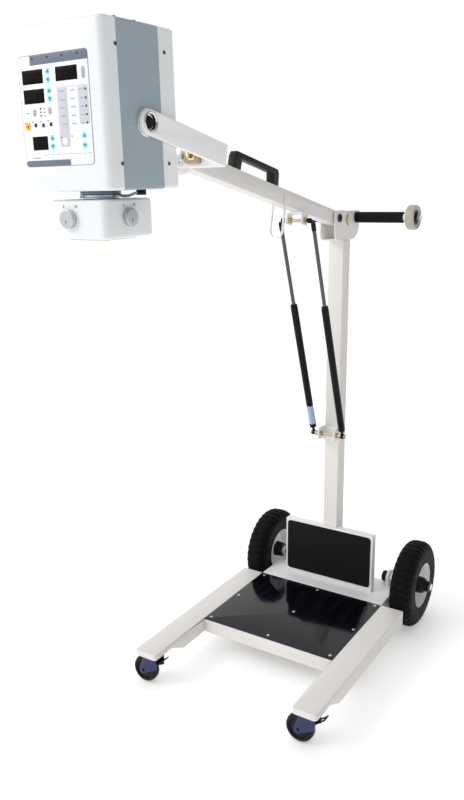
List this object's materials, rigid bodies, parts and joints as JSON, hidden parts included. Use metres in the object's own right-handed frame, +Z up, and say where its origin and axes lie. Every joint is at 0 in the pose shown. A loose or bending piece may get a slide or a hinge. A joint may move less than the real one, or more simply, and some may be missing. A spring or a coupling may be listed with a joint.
{
  "type": "mobile x-ray stand",
  "caption": "Wheeled base with a column and a gas-spring balanced arm that carries an x-ray head with a beam-limiting box in a fork.",
  "frame": {"origin": "on the floor, at the middle of the whole object's footprint box (bottom centre of the bounding box)", "axes": "+Z up, -Y forward towards the legs and the head, +X towards the right rear wheel and the wheel on the handlebar"},
  "size_m": [0.6048, 1.2718, 1.5545],
  "materials": {
    "frame_paint": "satin powder coat",
    "white_paint": "satin powder coat",
    "band_paint": "satin powder coat",
    "plate_black": "gloss",
    "pad_black": "matt",
    "tyre_black": "matt",
    "caster_rubber": "satin",
    "caster_steel": "bright",
    "black_plastic": "satin",
    "grip_foam": "matt",
    "bar_tyre_rubber": "satin",
    "chrome": "polished",
    "steel": "satin",
    "dark_steel": "black oxide",
    "brass": "satin",
    "panel_face": "gloss",
    "tank_metal": "cast",
    "tube_glass": "clear",
    "window_clear": "clear, warm tint",
    "lead_grey": "satin",
    "blade_metal": "dull"
  },
  "bodies": {
    "base": {"left_leg": "frame_paint", "right_leg": "frame_paint", "front_crossbeam": "frame_paint", "rear_deck": "white_paint", "foot_plate": "plate_black", "plate_screws": "steel", "mast_shroud": "white_paint", "shroud_pad": "pad_black", "mast": "frame_paint", "stub_axles": "chrome", "axle_nuts": "black_plastic", "mast_head": "frame_paint", "pivot_bolt": "dark_steel", "handlebar": "chrome", "left_grip": "grip_foam", "right_grip": "grip_foam", "lower_bracket": "white_paint", "lower_studs": "brass"},
    "left_wheel": {"left_tyre": "tyre_black", "left_rim": "white_paint"},
    "right_wheel": {"right_tyre": "tyre_black", "right_rim": "white_paint"},
    "left_caster": {"left_caster_fork": "caster_steel"},
    "left_roller": {"left_caster_wheel": "caster_rubber"},
    "left_brake": {"left_caster_pedal": "black_plastic"},
    "right_caster": {"right_caster_fork": "caster_steel"},
    "right_roller": {"right_caster_wheel": "caster_rubber"},
    "right_brake": {"right_caster_pedal": "black_plastic"},
    "bar_wheel": {"bar_wheel_tyre": "bar_tyre_rubber", "bar_wheel_hub": "black_plastic"},
    "arm": {"arm_tube": "frame_paint", "arm_handle": "black_plastic", "cable_hook": "white_paint", "upper_bracket": "white_paint", "upper_studs": "brass"},
    "left_cylinder": {"left_spring_cylinder": "dark_steel"},
    "right_cylinder": {"right_spring_cylinder": "dark_steel"},
    "left_rod": {"left_spring_rod": "steel"},
    "right_rod": {"right_spring_rod": "steel"},
    "fork": {"fork_frame": "white_paint", "swivel_bolt": "chrome", "lock_block": "brass"},
    "head": {"head_band": "band_paint", "front_cover": "white_paint", "rear_cover": "white_paint", "control_panel": "panel_face", "tube_tank": "tank_metal", "x_ray_tube": "tube_glass", "trunnion_hubs": "chrome", "case_screws": "dark_steel", "turntable": "steel", "collimator_lead": "lead_grey"},
    "collimator": {"collimator_body": "white_paint", "collimator_window": "window_clear"},
    "front_knob": {"front_knob": "chrome"},
    "side_knob": {"side_knob": "chrome"},
    "blade_left": {"blade_left": "blade_metal"},
    "blade_right": {"blade_right": "blade_metal"},
    "blade_front": {"blade_front": "blade_metal"},
    "blade_rear": {"blade_rear": "blade_metal"}
  },
  "joints": [
    {"name": "left_wheel_spin", "type": "hinge", "parent": "base", "child": "left_wheel", "pos_m": [-0.245, 0.50595, 0.13], "axis": [1, 0, 0], "continuous": true},
    {"name": "right_wheel_spin", "type": "hinge", "parent": "base", "child": "right_wheel", "pos_m": [0.245, 0.50595, 0.13], "axis": [1, 0, 0], "continuous": true},
    {"name": "left_caster_swivel", "type": "hinge", "parent": "base", "child": "left_caster", "pos_m": [-0.2355, -0.16005, 0.09], "axis": [0, 0, 1], "continuous": true},
    {"name": "left_caster_roll", "type": "hinge", "parent": "left_caster", "child": "left_roller", "pos_m": [-0.2605, -0.16005, 0.0375], "axis": [0, 1, 0], "continuous": true},
    {"name": "left_brake_press", "type": "hinge", "parent": "left_caster", "child": "left_brake", "pos_m": [-0.2235, -0.16005, 0.06], "axis": [0, 1, 0], "range_deg": [0, 14]},
    {"name": "right_caster_swivel", "type": "hinge", "parent": "base", "child": "right_caster", "pos_m": [0.2355, -0.16005, 0.09], "axis": [0, 0, 1], "continuous": true},
    {"name": "right_caster_roll", "type": "hinge", "parent": "right_caster", "child": "right_roller", "pos_m": [0.2105, -0.16005, 0.0375], "axis": [0, 1, 0], "continuous": true},
    {"name": "right_brake_press", "type": "hinge", "parent": "right_caster", "child": "right_brake", "pos_m": [0.2475, -0.16005, 0.06], "axis": [0, 1, 0], "range_deg": [0, 14]},
    {"name": "bar_wheel_spin", "type": "hinge", "parent": "base", "child": "bar_wheel", "pos_m": [0.193, 0.50695, 1.216], "axis": [1, 0, 0], "continuous": true},
    {"name": "arm_pitch", "type": "hinge", "parent": "base", "child": "arm", "pos_m": [0, 0.39495, 1.2165], "axis": [1, 0, 0], "range_deg": [-18, 22]},
    {"name": "left_cylinder_tilt", "type": "hinge", "parent": "base", "child": "left_cylinder", "pos_m": [-0.0465, 0.40395, 0.592], "axis": [1, 0, 0], "range_deg": [-3, 3]},
    {"name": "left_rod_slide", "type": "slide", "parent": "left_cylinder", "child": "left_rod", "axis": [0.0137, -0.3245, 0.9458], "range_m": [-0.08, 0.08]},
    {"name": "right_cylinder_tilt", "type": "hinge", "parent": "base", "child": "right_cylinder", "pos_m": [0.0465, 0.40395, 0.592], "axis": [1, 0, 0], "range_deg": [-3, 3]},
    {"name": "right_rod_slide", "type": "slide", "parent": "right_cylinder", "child": "right_rod", "axis": [-0.0137, -0.3245, 0.9458], "range_m": [-0.08, 0.08]},
    {"name": "fork_roll", "type": "hinge", "parent": "arm", "child": "fork", "pos_m": [0, -0.30005, 1.35159], "axis": [0, -0.9816, 0.1908], "range_deg": [-90, 90]},
    {"name": "head_tilt", "type": "hinge", "parent": "fork", "child": "head", "pos_m": [0, -0.53367, 1.39701], "axis": [1, 0, 0], "range_deg": [-110, 110]},
    {"name": "collimator_turn", "type": "hinge", "parent": "head", "child": "collimator", "pos_m": [0, -0.54326, 1.27469], "axis": [0, -0.0279, 0.9996], "range_deg": [-45, 45]},
    {"name": "front_knob_turn", "type": "hinge", "parent": "collimator", "child": "front_knob", "pos_m": [-0.016, -0.60786, 1.24147], "axis": [0, -0.9996, -0.0279], "range_deg": [-140, 100]},
    {"name": "side_knob_turn", "type": "hinge", "parent": "collimator", "child": "side_knob", "pos_m": [0.0645, -0.54738, 1.24316], "axis": [1, 0, 0], "range_deg": [-140, 100]},
    {"name": "blade_left_slide", "type": "slide", "parent": "collimator", "child": "blade_left", "axis": [-1, 0, 0], "range_m": [-0.01486, 0.01067]},
    {"name": "blade_right_slide", "type": "slide", "parent": "collimator", "child": "blade_right", "axis": [1, 0, 0], "range_m": [-0.01486, 0.01067]},
    {"name": "blade_front_slide", "type": "slide", "parent": "collimator", "child": "blade_front", "axis": [0, -0.9996, -0.0279], "range_m": [-0.01486, 0.01067]},
    {"name": "blade_rear_slide", "type": "slide", "parent": "collimator", "child": "blade_rear", "axis": [0, 0.9996, 0.0279], "range_m": [-0.01486, 0.01067]}
  ],
  "couplings": [
    {"joint": "left_cylinder_tilt", "follows": "arm_pitch", "ratio": 0.09},
    {"joint": "left_rod_slide", "follows": "arm_pitch", "m_per_rad": -0.19366},
    {"joint": "right_cylinder_tilt", "follows": "arm_pitch", "ratio": 0.09},
    {"joint": "right_rod_slide", "follows": "arm_pitch", "m_per_rad": -0.19366},
    {"joint": "blade_left_slide", "follows": "front_knob_turn", "m_per_rad": 0.006},
    {"joint": "blade_right_slide", "follows": "front_knob_turn", "m_per_rad": 0.006},
    {"joint": "blade_front_slide", "follows": "side_knob_turn", "m_per_rad": 0.006},
    {"joint": "blade_rear_slide", "follows": "side_knob_turn", "m_per_rad": 0.006}
  ]
}
